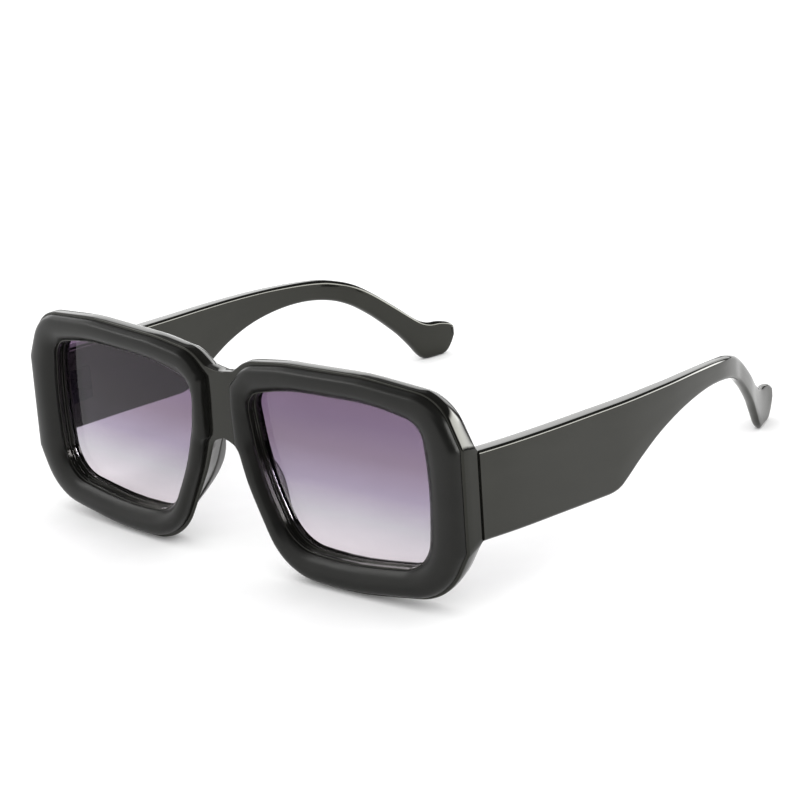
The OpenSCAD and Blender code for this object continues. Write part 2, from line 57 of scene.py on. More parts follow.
LEAF_T, FRONT_LEAF_L, TEMPLE_LEAF_L, LEAF_CLEAR, LEAF_SEAT = 1.1, 5.0, 8.0, 0.05, 0.87
# How far a cutter reaches past the face that it opens, and past the leaf sideways
PAST, PAST_LEAF = 5.0, 1.0

HALF_W = BRIDGE_W / 2 + LENS_W + RIM_SIDE_W
FRONT_H = RIM_BOTTOM_W + LENS_H + RIM_TOP_W
BRIDGE_TOP = NOSE_ARCH_H + BRIDGE_H
FRONT_Y = (PADDING_H - TEMPLE_REACH) / 2
RIM_CENTRE = np.array([BRIDGE_W / 2 + LENS_W / 2, RIM_BOTTOM_W + LENS_H / 2])
TEMPLE_TOP_Z = HINGE_Z + TEMPLE_H / 2
LEAF_LOW = HINGE_Z - KNUCKLES * KNUCKLE_H / 2
LEAF_HIGH = HINGE_Z + KNUCKLES * KNUCKLE_H / 2
FLANK_EXTRA = TEMPLE_H * 0.077
BACK_BEVEL, BEVEL_FROM, BEVEL_SOFT, BACK_ROUND = PLATE_T * 0.23, 0.5, 0.04, PLATE_ROUND * 0.3
# Bevel of the nose edge: [share of the front's height, share of the plate's thickness].
# It fades out sideways between two shares of the half width.
NOSE_BEVEL = [
    (0.1, 0.8), (0.145, 0.85), (0.18, 0.78), (0.235, 0.58), (0.29, 0.42), (0.343, 0.35), (0.45, 0.33),
    (0.6, 0.3),
]
NOSE_FADE = (0.18, 0.3)
# Outline of the front: [share of the half width, share of the height, radius as a share of the height].
# The bridge's corner is given by its height over the bridge's top.
BRIDGE_CORNER = (0.062, 0.012, 0.07)
TOP_EDGE = [(0.127, 0.961, 0.18), (0.297, 0.989, 0.9), (0.626, 1, 1.1), (0.924, 0.962, 0.2)]
BOTTOM_EDGE = [(0.912, 0.06, 0.29), (0.568, 0, 1.2), (0.432, 0, 0.9), (0.251, 0.009, 0.32)]
NOSE_EDGE = [(0.097, 0.399, 0.54), (0.053, 0.552, 0.07)]
# Opening of a rim: [share of the lens's width, share of its height, radius as a share of its height]
OPENING = [
    (-0.008, 0.905, 0.117), (0.247, 0.991, 1.49), (0.721, 1.003, 1.479), (0.974, 0.937, 0.135),
    (1.011, 0.584, 2.253), (0.978, 0.062, 0.225), (0.534, -0.008, 2.345), (0.214, 0.017, 0.289),
    (0.09, 0.346, 1.32), (0.035, 0.555, 1.403),
]
# Height of the padding from its outer edge to its inner edge
PADDING = [
    (0, 0), (0.015, 0.28), (0.045, 0.52), (0.1, 0.75), (0.18, 0.9), (0.29, 0.98), (0.43, 1),
    (0.58, 0.94), (0.73, 0.76), (0.87, 0.44), (0.97, 0.1), (1, 0),
]
# Temple, by share of its reach: its top and bottom edges, its outer face and its thickness
TEMPLE_TOP = [
    (0.066, 1), (0.224, 0.95), (0.389, 0.905), (0.516, 0.874), (0.636, 0.837), (0.73, 0.791),
    (0.77, 0.747), (0.8, 0.696), (0.832, 0.612), (0.871, 0.487), (0.92, 0.321), (0.943, 0.276),
    (0.967, 0.264), (0.989, 0.237), (1, 0.207),
]
TEMPLE_BOTTOM = [
    (0.066, 0.444), (0.15, 0.416), (0.234, 0.391), (0.3, 0.37), (0.345, 0.356), (0.368, 0.351),
    (0.388, 0.361), (0.407, 0.399), (0.442, 0.477), (0.499, 0.576), (0.563, 0.644), (0.63, 0.673),
    (0.693, 0.664), (0.75, 0.617), (0.79, 0.546), (0.828, 0.437), (0.851, 0.356), (0.869, 0.287),
    (0.884, 0.225), (0.903, 0.13), (0.926, 0.013), (0.951, 0), (0.977, 0.008), (0.991, 0.062), (1, 0.13),
]
TEMPLE_PLAN = [
    (0.034, 1), (0.134, 1.0175), (0.234, 1.027), (0.335, 1.033), (0.435, 1.038), (0.536, 1.032),
    (0.603, 1.02), (0.67, 1.002), (0.723, 0.983), (0.77, 0.955), (0.804, 0.927), (0.837, 0.903),
    (0.871, 0.877), (0.904, 0.847), (0.938, 0.819), (0.97, 0.797), (1, 0.781),
]
TEMPLE_THICK = [(0.066, 1), (0.35, 0.97), (0.6, 0.8), (0.75, 0.72), (0.87, 0.66), (0.94, 0.52), (1, 0.42)]
# Nose pad: [share of the front's height, reach backwards, slant outwards]
PAD_EDGE = [
    (0.565, 0.12, 0.15), (0.54, 0.3, 0.3), (0.505, 0.55, 0.55), (0.45, 0.88, 0.88), (0.4, 1, 1),
    (0.343, 0.9, 0.9), (0.29, 0.64, 0.7), (0.235, 0.4, 0.5), (0.18, 0.22, 0.4), (0.145, 0.1, 0.2),
]
# Section of a nose pad: [share of the slant, share of the thickness, share of the reach]
PAD_SECTION = [
    (0, 0, 0), (0.5, 0.5, 0), (1, 1, 0), (1, 0.9, 0.3), (1, 0.75, 0.6), (1, 0.4, 0.95), (1, 0, 1),
    (1, -0.35, 0.9), (0.35, 0, 0.55), (0.1, 0, 0.2),
]
PAD_RINGS = 22

# Longest steps along the outlines
STATION_STEP, OPENING_STEP, LENS_STEP = 1.4, 1.0, 1.6
# Round edge of the plate, in degrees
EDGE_TURNS = (0, 22, 45, 68, 90)
# Places of the padding's rings, as shares of the way from its outer edge to the opening
PADDING_PLACES = (
    0.006, 0.02, 0.045, 0.08, 0.12, 0.17, 0.23, 0.3, 0.37, 0.44, 0.51, 0.58, 0.65, 0.72, 0.79, 0.85, 0.9,
    0.935,
)
# Small step down from the padding to the opening: [share of the way left, height over the plate]
INNER_STEP = ((1, 0.5), (0.94, 0.44), (0.9, 0.3), (0.9, 0.12), (0.82, 0.02), (0.2, 0), (0.08, -0.02))
# Two fine grooves with a bead between them, round the wall of the opening: [outwards, depth]
WALL_GROOVES = (
    (0, 1.0), (0.34, 1.12), (0.34, 1.3), (0.12, 1.42), (0.04, 1.6), (0.12, 1.78), (0.34, 1.9), (0.34, 2.1),
    (0.1, 2.22), (0, 2.4),
)
LENS_PLAY, GROOVE_EDGE = 0.05, 0.2
# Rings of the lens's faces, as shares of the way out, and the small chamfer of its edge
LENS_RINGS, LENS_CHAMFER = (0.02, 0.25, 0.5, 0.75, 0.95), 0.12
# Rings along the temple, closer together towards the tip, and how far the last one keeps off its end
TEMPLE_RINGS, TEMPLE_CROWDING, TIP_ROUND = 110, 1.35, 0.9
# Rings that round the end of the tip: [size, distance from the end]
TIP_RINGS = ((0.9, 0.55), (0.72, 0.22), (0.4, 0.0))
# The slim end behind the ear is tumbled rounder than the wide blade: [extra, from, over]
EAR_ROUND = (0.7, 0.6, 0.25)
# The rounding is at most the temple's height and thickness over these, and shrinks to this share at the tip
ROUND_LIMITS, LEAST_ROUND = (2.5, 2.15), 0.4
# Satin faces don't look back further than this, and stand this far in front of the plate
SATIN_LOOK, SATIN_PROUD = 0.2, 0.02
# Faces of the nose bevel look inwards at least this much, and forwards no more than this
BEVEL_INWARDS, BEVEL_FORWARDS = 0.3, 0.1


def unit(v):
    return v / np.linalg.norm(v)


def rounded(corners, step=4.0):
    """The closed path through [x, z, radius] corners, each drawn as an arc."""
    path = []
    for i, corner in enumerate(corners):
        a, p, b = (np.array(corners[k % len(corners)][:2], float) for k in (i - 1, i, i + 1))
        u, v, radius = unit(a - p), unit(b - p), corner[2]
        if radius == 0:
            path.append(p)
            continue
        half = math.acos(np.clip(u @ v, -1, 1)) / 2
        turn = math.pi - 2 * half
        middle = p + unit(u + v) * radius / math.sin(half)
        start = p + u * radius * math.tan(turn / 2) - middle
        side = np.sign(-u[0] * v[1] + u[1] * v[0])
        steps = max(2, math.ceil(math.degrees(turn) / step))
        for w in (side * turn * k / steps for k in range(steps + 1)):
            path.append(middle + np.array([start[0] * math.cos(w) - start[1] * math.sin(w),
                                           start[0] * math.sin(w) + start[1] * math.cos(w)]))
    return path


def divided(path, longest):
    """The same closed path with its long straight steps divided."""
    result = []
    for i, a in enumerate(path):
        b = path[(i + 1) % len(path)]
        steps = max(1, math.ceil(np.linalg.norm(b - a) / longest))
        result += [a + (b - a) * k / steps for k in range(steps)]
    return np.array(result)


def curve(table, x):
    """Smooth curve through a table of (place, value) rows, with each slope taken from the rows beside it."""
    places, values = np.array([r[0] for r in table], float), np.array([r[1] for r in table], float)
    last = len(table) - 1
    i = np.clip(np.searchsorted(places, x, side="left") - 1, 0, last - 1)
    after, before = np.minimum(np.arange(last + 1) + 1, last), np.maximum(np.arange(last + 1) - 1, 0)
    slope = (values[after] - values[before]) / (places[after] - places[before])
    h = places[i + 1] - places[i]
    t = (x - places[i]) / h
    return ((2 * t**3 - 3 * t**2 + 1) * values[i] + (t**3 - 2 * t**2 + t) * slope[i] * h
            + (3 * t**2 - 2 * t**3) * values[i + 1] + (t**3 - t**2) * slope[i + 1] * h)


def reach_to(path, start, way):
    """Distance from a place to a closed path in one direction."""
    a, e = path - start, np.roll(path, -1, axis=0) - path
    det = way[0] * e[:, 1] - way[1] * e[:, 0]
    det = np.where(abs(det) < 1e-12, 1e-12, det)
    t = (a[:, 0] * e[:, 1] - a[:, 1] * e[:, 0]) / det
    s = (a[:, 0] * way[1] - a[:, 1] * way[0]) / det
    return max(t[(s > -1e-6) & (s < 1 + 1e-6)])


def distance_to(path, points):
    """Shortest distance from each point to a closed path."""
    a, e = path[None], (np.roll(path, -1, axis=0) - path)[None]
    q = points[:, None] - a
    t = np.clip((q * e).sum(2) / np.maximum((e * e).sum(2), 1e-12), 0, 1)
    return np.linalg.norm(q - t[..., None] * e, axis=2).min(1)


def plate_y(x, z):
    """Front surface of the plate, bent sideways and leaning back."""
    return FRONT_Y + x * x / (2 * FRONT_R) + z * math.tan(FRONT_LEAN)


def in_space(p, depth):
    return (p[0], plate_y(p[0], p[1]) + depth, p[1])


def deselect():
    if bpy.context.object and bpy.context.object.mode != "OBJECT":
        bpy.ops.object.mode_set(mode="OBJECT")
    bpy.ops.object.select_all(action="DESELECT")


def take(piece):
    """Selects one piece and nothing else."""
    deselect()
    piece.select_set(True)
    bpy.context.view_layer.objects.active = piece


def drawn_out(name, rings, close=False, start_cap=False, end_cap=False):
    """A piece that starts as a circle and is extruded ring by ring, each ring set in its place."""
    deselect()
    bpy.ops.mesh.primitive_circle_add(vertices=len(rings[0]), radius=MM)
    piece = bpy.context.object
    piece.name = piece.data.name = name
    bpy.ops.object.mode_set(mode="EDIT")
    bpy.ops.mesh.select_all(action="SELECT")
    shape = bmesh.from_edit_mesh(piece.data)
    order = shape.verts.layers.int.new("order")
    for v in shape.verts:
        v[order] = v.index
    loop = list(rings[1:]) + ([rings[0]] if close else [])
    for k, ring in enumerate([rings[0]] + loop):
        if k:
            bpy.ops.mesh.extrude_edges_move()
            shape = bmesh.from_edit_mesh(piece.data)
            order = shape.verts.layers.int["order"]
        for v in shape.verts:
            if v.select:
                v.co = Vector(ring[v[order]]) * MM
        bmesh.update_edit_mesh(piece.data)
        if k == 0 and start_cap:
            bpy.ops.mesh.edge_face_add()
    if end_cap:
        bpy.ops.mesh.edge_face_add()
    bpy.ops.mesh.select_all(action="SELECT")
    bpy.ops.mesh.remove_doubles(threshold=1e-6)
    bpy.ops.object.mode_set(mode="OBJECT")
    piece.data.attributes.remove(piece.data.attributes["order"])
    face_outwards(piece)
    place_in_mesh(piece)
    return piece


def face_outwards(piece):
    """Turns all faces the same way, and outwards: a thin piece is judged by the sign of its volume."""
    take(piece)
    bpy.ops.object.mode_set(mode="EDIT")
    bpy.ops.mesh.select_all(action="SELECT")
    bpy.ops.mesh.normals_make_consistent(inside=False)
    if bmesh.from_edit_mesh(piece.data).calc_volume(signed=True) < 0:
        bpy.ops.mesh.flip_normals()
    bpy.ops.object.mode_set(mode="OBJECT")


def place_in_mesh(piece):
    take(piece)
    bpy.ops.object.transform_apply(location=True, rotation=True, scale=True)


def apply(piece, kind, **settings):
    modifier = piece.modifiers.new(kind.title(), kind)
    for key, value in settings.items():
        setattr(modifier, key, value)
    take(piece)
    bpy.ops.object.modifier_apply(modifier=modifier.name)


def smooth(piece, degrees):
    take(piece)
    bpy.ops.object.shade_smooth_by_angle(angle=math.radians(degrees))


def cut_away(piece, cutter):
    apply(piece, "BOOLEAN", operation="DIFFERENCE", object=cutter, solver="EXACT")
    bpy.data.objects.remove(cutter)


def cut_block(piece, low, high):
    """Cuts a box-shaped pocket, given by its lowest and highest corners in millimetres."""
    deselect()
    low, high = Vector(low) * MM, Vector(high) * MM
    bpy.ops.mesh.primitive_cube_add(size=1, location=(low + high) / 2, scale=high - low)
    cut_away(piece, bpy.context.object)


def cut_round(piece, x, y, low, high, radius):
    """Cuts an upright round hole between two heights in millimetres."""
    deselect()
    bpy.ops.mesh.primitive_cylinder_add(vertices=48, radius=radius * MM, depth=(high - low) * MM,
                                        location=(x * MM, y * MM, (low + high) / 2 * MM))
    cut_away(piece, bpy.context.object)


def mirrored(piece, name):
    """The same piece on the wearer's right, with its own mesh."""
    copy = piece.copy()
    copy.data = piece.data.copy()
    copy.name = copy.data.name = name
    bpy.context.collection.objects.link(copy)
    copy.scale.x = -1
    place_in_mesh(copy)
    face_outwards(copy)
    return copy


def srgb(code):
    """An sRGB hex colour as linear RGBA."""
    parts = [int(code[i:i + 2], 16) / 255 for i in (1, 3, 5)]
    return [c / 12.92 if c <= 0.04045 else ((c + 0.055) / 1.055) ** 2.4 for c in parts] + [1.0]


def node(owner, kind, links=(), inputs=(), **settings):
    """Adds one node, sets it and links it: inputs are {socket: value}, links are {socket: output}."""
    n = owner.node_tree.nodes.new(kind)
    for key, value in settings.items():
        setattr(n, key, value)
    for key, value in dict(inputs).items():
        n.inputs[key].default_value = value
    for key, output in dict(links).items():
        owner.node_tree.links.new(output, n.inputs[key])
    return n


def ramp(material, factor, stops):
    n = node(material, "ShaderNodeValToRGB", {"Fac": factor})
    while len(n.color_ramp.elements) < len(stops):
        n.color_ramp.elements.new(0.5)
    for element, (at, colour) in zip(n.color_ramp.elements, stops):
        element.position, element.color = at, colour
    return n.outputs["Color"]


def new_material(name):
    material = bpy.data.materials.new(name)
    material.use_nodes = True
    material.node_tree.nodes.clear()
    place = node(material, "ShaderNodeTexCoord").outputs["Object"]
    return material, place


def finish_material(material, shader):
    node(material, "ShaderNodeOutputMaterial", {"Surface": shader})
    return material


def acetate(name, greys, roughness, bump_mm, grain_mm, ior, gloss="#fffff2"):
    """Cellulose acetate sheet, milled and tumbled: near black, with its own soft waviness under the gloss."""
    material, place = new_material(name)
    cloud = node(material, "ShaderNodeTexNoise", {"Vector": place}, {"Scale": 1 / (9 * MM), "Detail": 3.0})
    grain = node(material, "ShaderNodeTexNoise", {"Vector": place},
                 {"Scale": 1 / (grain_mm * MM), "Detail": 2.0})
    colour = ramp(material, cloud.outputs["Fac"], [(0.35, srgb(greys[0])), (0.7, srgb(greys[1]))])
    rough = node(material, "ShaderNodeMapRange", {"Value": cloud.outputs["Fac"]},
                 {"From Min": 0.3, "From Max": 0.7, "To Min": roughness[0], "To Max": roughness[1]})
    bump = node(material, "ShaderNodeBump", {"Height": grain.outputs["Fac"]},
                {"Strength": 0.25, "Distance": bump_mm * MM})
    shader = node(material, "ShaderNodeBsdfPrincipled",
                  {"Base Color": colour, "Roughness": rough.outputs["Result"],
                   "Normal": bump.outputs["Normal"]},
                  {"IOR": ior, "Specular Tint": srgb(gloss)})
    return finish_material(material, shader.outputs["BSDF"])


# Real acetate has an IOR near 1.48. The three lower ones are fitted to how much each surface mirrors in the
# photograph, under this dome, and are no measure of the material.
# Buffed black acetate on the plate's edges and back: a clear gloss
plate_polish = acetate("acetate_polished_plate", ("#0c0c0b", "#121210"), (0.07, 0.11), 0.003, 0.8, 1.39)
# The temples, of the same gloss, which look a little brighter in the photograph
temple_polish = acetate("acetate_polished_temple", ("#0c0c0b", "#121210"), (0.07, 0.11), 0.003, 0.8, 1.46)
# Tumbled padding, whose finer scratches give it a soft satin gloss
satin = acetate("acetate_satin_black", ("#0d0d0c", "#131311"), (0.28, 0.34), 0.004, 0.35, 1.33, "#fffffc")
# Glued nose pads and the bevel beside them: filed and satin black acetate, with the base colour lightened to grey
# as painted reflection of the bright floor behind them
pad_greyed_as_reflection = acetate("acetate_pad_black", ("#2a292b", "#343335"), (0.26, 0.34), 0.004, 0.5, 1.5)


def tinted_lens():
    """Dip-dyed polymer lens: purple grey above, nearly clear below, with little glare."""
    material, place = new_material("lens_graduated_tint")
    height = node(material, "ShaderNodeSeparateXYZ", {"Vector": place}).outputs["Z"]
    drift = node(material, "ShaderNodeTexNoise", {"Vector": place}, {"Scale": 1 / (25 * MM), "Detail": 1.0})
    level = node(material, "ShaderNodeMath", {0: drift.outputs["Fac"]}, {1: 1.2 * MM}, operation="MULTIPLY")
    moved = node(material, "ShaderNodeMath", {0: height, 1: level.outputs[0]}, operation="ADD")
    share = node(material, "ShaderNodeMapRange", {"Value": moved.outputs[0]},
                 {"From Min": RIM_BOTTOM_W * MM, "From Max": (RIM_BOTTOM_W + LENS_H) * MM})
    tint = ramp(material, share.outputs["Result"], [
        (0.0, srgb("#efe6ec")), (0.25, srgb("#c2bec6")), (0.45, srgb("#9a8ea3")), (0.65, srgb("#807083")),
        (0.85, srgb("#705e76")), (1.0, srgb("#6a576e"))])
    # A real polymer has an IOR near 1.5. This one is fitted to the faint glare, and stands in for a coat.
    shader = node(material, "ShaderNodeBsdfPrincipled", {"Base Color": tint},
                  {"Roughness": 0.0, "IOR": 1.3, "Transmission Weight": 1.0})
    return finish_material(material, shader.outputs["BSDF"])


def plated(name, low, high):
    """Nickel-plated steel of the hinges, tumbled: a soft gloss over fine drawn lines."""
    material, place = new_material(name)
    stretched = node(material, "ShaderNodeMapping", {"Vector": place}, {"Scale": (1, 1, 12)})
    lines = node(material, "ShaderNodeTexNoise", {"Vector": stretched.outputs["Vector"]},
                 {"Scale": 1 / (1.2 * MM), "Detail": 2.0})
    colour = ramp(material, lines.outputs["Fac"], [(0.3, srgb(low)), (0.7, srgb(high))])
    rough = node(material, "ShaderNodeMapRange", {"Value": lines.outputs["Fac"]},
                 {"To Min": 0.22, "To Max": 0.36})
    bump = node(material, "ShaderNodeBump", {"Height": lines.outputs["Fac"]},
                {"Strength": 0.15, "Distance": 0.01 * MM})
    shader = node(material, "ShaderNodeBsdfPrincipled",
                  {"Base Color": colour, "Roughness": rough.outputs["Result"],
                   "Normal": bump.outputs["Normal"]},
                  {"Metallic": 1.0})
    return finish_material(material, shader.outputs["BSDF"])


def paper_white():
    """Matt white sweep under the glasses."""
    material, place = new_material("sweep_matt_white")
    fibre = node(material, "ShaderNodeTexNoise", {"Vector": place}, {"Scale": 60.0, "Detail": 2.0})
    colour = ramp(material, fibre.outputs["Fac"], [(0.3, srgb("#fbfbfb")), (0.7, srgb("#ffffff"))])
    shader = node(material, "ShaderNodeBsdfPrincipled", {"Base Color": colour},
                  {"Roughness": 0.95, "Specular IOR Level": 0.0})
    return finish_material(material, shader.outputs["BSDF"])


# Outlines of the front, in its own plane, and the lines that its rings are drawn along
outline = rounded(
    [(0, BRIDGE_TOP, 0)]
    + [(BRIDGE_CORNER[0] * HALF_W, BRIDGE_TOP + BRIDGE_CORNER[1] * FRONT_H, BRIDGE_CORNER[2] * FRONT_H)]
    + [(s[0] * HALF_W, s[1] * FRONT_H, s[2] * FRONT_H) for s in TOP_EDGE]
    + [(HALF_W, TEMPLE_TOP_Z + FLANK_EXTRA, 0), (HALF_W, HINGE_Z - TEMPLE_H / 2 - FLANK_EXTRA, 0)]
    + [(s[0] * HALF_W, s[1] * FRONT_H, s[2] * FRONT_H) for s in BOTTOM_EDGE + NOSE_EDGE]
    + [(0, NOSE_ARCH_H, 0)]
)
opening = np.array(rounded(
    [(BRIDGE_W / 2 + s[0] * LENS_W, RIM_BOTTOM_W + s[1] * LENS_H, s[2] * LENS_H) for s in OPENING]))
stations = divided(outline, STATION_STEP)
count = len(stations)
on_middle = stations[:, 0] < 1e-6
on_flank = stations[:, 0] > HALF_W - 1e-6
ways = np.array([unit(RIM_CENTRE - p) for p in stations])
opening_edge = np.array([RIM_CENTRE - w * reach_to(opening, RIM_CENTRE, -w) for w in ways])
to_recess = (BRIDGE_FLAT_W / 2 - stations[:, 0]) / np.maximum(ways[:, 0], 0.01)
# The padding keeps off the plate's edge and off the flat bridge, with a soft corner between the two
padding_inset = (PLATE_EDGE_W + to_recess + np.hypot(PLATE_EDGE_W - to_recess, BRIDGE_FLAT_ROUND)) / 2
padding_edge = stations + ways * padding_inset[:, None]
fine_opening = divided(list(opening), OPENING_STEP)
tangents = np.roll(stations, -1, axis=0) - np.roll(stations, 1, axis=0)
inwards = np.stack([tangents[:, 1], -tangents[:, 0]], 1) / np.linalg.norm(tangents, axis=1)[:, None]
inwards[on_middle] = np.stack(
    [np.zeros(on_middle.sum()), 1 - 2 * (stations[on_middle, 1] - NOSE_ARCH_H) / BRIDGE_H], 1)
flank_share = np.maximum(0, 1 - (HALF_W - stations[:, 0]) / RIM_SIDE_W)
nose_share = np.clip((NOSE_FADE[1] - stations[:, 0] / HALF_W) / (NOSE_FADE[1] - NOSE_FADE[0]), 0, 1)
nose_share[stations[:, 1] > NOSE_ARCH_H + 1e-6] = 0


def nose_bevel(z):
    """How far the nose edge is bevelled away at the back of the plate, at one height."""
    return PLATE_T * curve(NOSE_BEVEL, np.clip(z / FRONT_H, NOSE_BEVEL[0][0], NOSE_BEVEL[-1][0]))


def drawn_in(share, inset):
    """The outline drawn in towards the back, as far as a share of the plate's depth."""
    from_hinge = stations[:, 1] - HINGE_Z
    taper = FLANK_EXTRA * flank_share * np.minimum(1, abs(from_hinge) / (TEMPLE_H / 2))
    back_bevel = BACK_BEVEL * (1 - flank_share) * max(0, (share - BEVEL_FROM) / (1 - BEVEL_FROM))
    bevel = back_bevel * (1 - nose_share) + nose_bevel(stations[:, 1]) * nose_share * share
    down = np.stack([np.zeros(count), np.sign(from_hinge) * taper * share], 1)
    return stations - down + inwards * (bevel + np.where(on_flank, 0, inset * (1 - nose_share)))[:, None]


def front_rings():
    rings = []

    def ring(points, depths):
        depths = np.broadcast_to(depths, count)
        rings.append([in_space(p, d) for p, d in zip(points, depths)])

    still = np.where(on_middle, 0, 1)[:, None]
    # Round edge of the plate, then its narrow ledge up to the padding
    for w in np.radians(EDGE_TURNS):
        ring(stations + ways * still * PLATE_ROUND * (1 - math.cos(w)), PLATE_ROUND * (1 - math.sin(w)))
    ring(padding_edge, 0)
    # Padded face: its height follows the distances to both of its edges, so that its crest runs evenly
    for s in PADDING_PLACES:
        points = padding_edge + (opening_edge - padding_edge) * s
        out, back = distance_to(padding_edge, points), distance_to(fine_opening, points)
        ring(points, -PADDING_H * np.maximum(0, curve(PADDING, out / (out + back))))
    rest = np.linalg.norm(opening_edge - points, axis=1)
    for left, height in INNER_STEP:
        ring(opening_edge - ways * (rest * left)[:, None], -height)
    ring(opening_edge, PLATE_ROUND / 2)
    for outwards, depth in WALL_GROOVES:
        ring(opening_edge - ways * outwards, depth)
    # Groove that holds the lens
    near, far = LENS_DEPTH - LENS_PLAY, LENS_DEPTH + LENS_T + LENS_PLAY
    for outwards, depth in ((0, near), (LENS_SEAT + LENS_PLAY, near), (LENS_SEAT + LENS_PLAY, far), (0, far),
                            (0, PLATE_T - GROOVE_EDGE), (GROOVE_EDGE, PLATE_T)):
        ring(opening_edge - ways * outwards, depth)
    # Back of the plate, its round edge and its bevel
    ring(drawn_in(1, PLATE_ROUND), PLATE_T)
    ring(drawn_in(1 - BACK_ROUND / PLATE_T, BACK_ROUND), PLATE_T - BACK_ROUND)
    ring(drawn_in(1 - PLATE_ROUND / PLATE_T, 0), PLATE_T - PLATE_ROUND)
    for share in (BEVEL_FROM + BEVEL_SOFT, BEVEL_FROM - BEVEL_SOFT):
        ring(drawn_in(share, 0), PLATE_T * share)
    return rings


def make_front():
    front = drawn_out("front_shell", front_rings(), close=True)
    # The middle plane is left open and closed by mirroring
    bpy.ops.object.mode_set(mode="EDIT")
    bpy.ops.mesh.select_all(action="DESELECT")
    shape = bmesh.from_edit_mesh(front.data)
    for face in shape.faces:
        face.select = all(abs(v.co.x) < 1e-6 for v in face.verts)
    bmesh.update_edit_mesh(front.data)
    bpy.ops.mesh.delete(type="FACE")
    bpy.ops.object.mode_set(mode="OBJECT")
    apply(front, "MIRROR", use_axis=(True, False, False), use_clip=True, merge_threshold=0.00001)
    # Pockets for the hinge leaves
    x0 = HALF_W - HINGE_INSET + BARREL_R - FRONT_LEAF_L
    y0 = plate_y(x0, LEAF_LOW) + PLATE_T - LEAF_T
    for side in (1, -1):
        xs = sorted([side * (x0 - LEAF_CLEAR), side * (x0 + FRONT_LEAF_L + PAST_LEAF)])
        cut_block(front, (xs[0], y0, LEAF_LOW - LEAF_CLEAR), (xs[1], y0 + PAST, LEAF_HIGH + LEAF_CLEAR))
    for finish in (plate_polish, satin, pad_greyed_as_reflection):
        front.data.materials.append(finish)
    # Satin on the faces that stand proud of the plate, and the pads' grey material, whose lightness is painted
    # reflection, on the bevel of the nose edge
    for face in front.data.polygons:
        c, n = face.center / MM, face.normal
        if n.y < SATIN_LOOK and c.y < plate_y(c.x, c.z) - SATIN_PROUD:
            face.material_index = 1
        elif (abs(c.x) < NOSE_FADE[1] * HALF_W and c.z < NOSE_ARCH_H
                and n.x * c.x < -BEVEL_INWARDS * abs(c.x) and n.y > -BEVEL_FORWARDS):
            face.material_index = 2
    smooth(front, 32)
    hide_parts("front_frame")
    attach(front, "front")
    return front


def make_lens():
    edge = divided(list(opening), LENS_STEP)
    middle = edge.mean(0)

    def ring(share, depth, grow=0.0):
        out = edge + np.array([unit(p - middle) for p in edge]) * (LENS_SEAT + grow)
        return [in_space(p, depth) for p in middle + (out - middle) * share]

    near, far = LENS_DEPTH, LENS_DEPTH + LENS_T
    rings = [ring(s, near) for s in LENS_RINGS]
    rings += [ring(1, near, -LENS_CHAMFER), ring(1, near + LENS_CHAMFER)]
    rings += [ring(1, far - LENS_CHAMFER), ring(1, far, -LENS_CHAMFER)]
    rings += [ring(s, far) for s in reversed(LENS_RINGS)]
    lens = drawn_out("lens_left", rings, start_cap=True, end_cap=True)
    smooth(lens, 30)
    return lens


def make_pad():
    outline_path = np.array(outline)

    def nose_x(z):
        return RIM_CENTRE[0] - reach_to(outline_path, np.array([RIM_CENTRE[0], z]), np.array([-1.0, 0.0]))

    rings = []
    reach_table = [(row[0], row[1]) for row in reversed(PAD_EDGE)]
    slant_table = [(row[0], row[2]) for row in reversed(PAD_EDGE)]
    for share in np.linspace(PAD_EDGE[0][0], PAD_EDGE[-1][0], PAD_RINGS):
        z = share * FRONT_H
        reach_share, slant_share = float(curve(reach_table, share)), float(curve(slant_table, share))
        root = nose_x(z) + float(nose_bevel(z))
        reach, slant = reach_share * PAD_REACH, slant_share * PAD_SLANT
        thick = PAD_EDGE_T * (PAD_THIN + (1 - PAD_THIN) * reach_share)
        rings.append([in_space((root + a * slant + b * thick, z), PLATE_T + PAD_GLUE + c * reach)
                      for a, b, c in PAD_SECTION])
    pad = drawn_out("nose_pad_left", rings, start_cap=True, end_cap=True)
    apply(pad, "SUBSURF", levels=1, render_levels=1)
    smooth(pad, 60)
    return pad


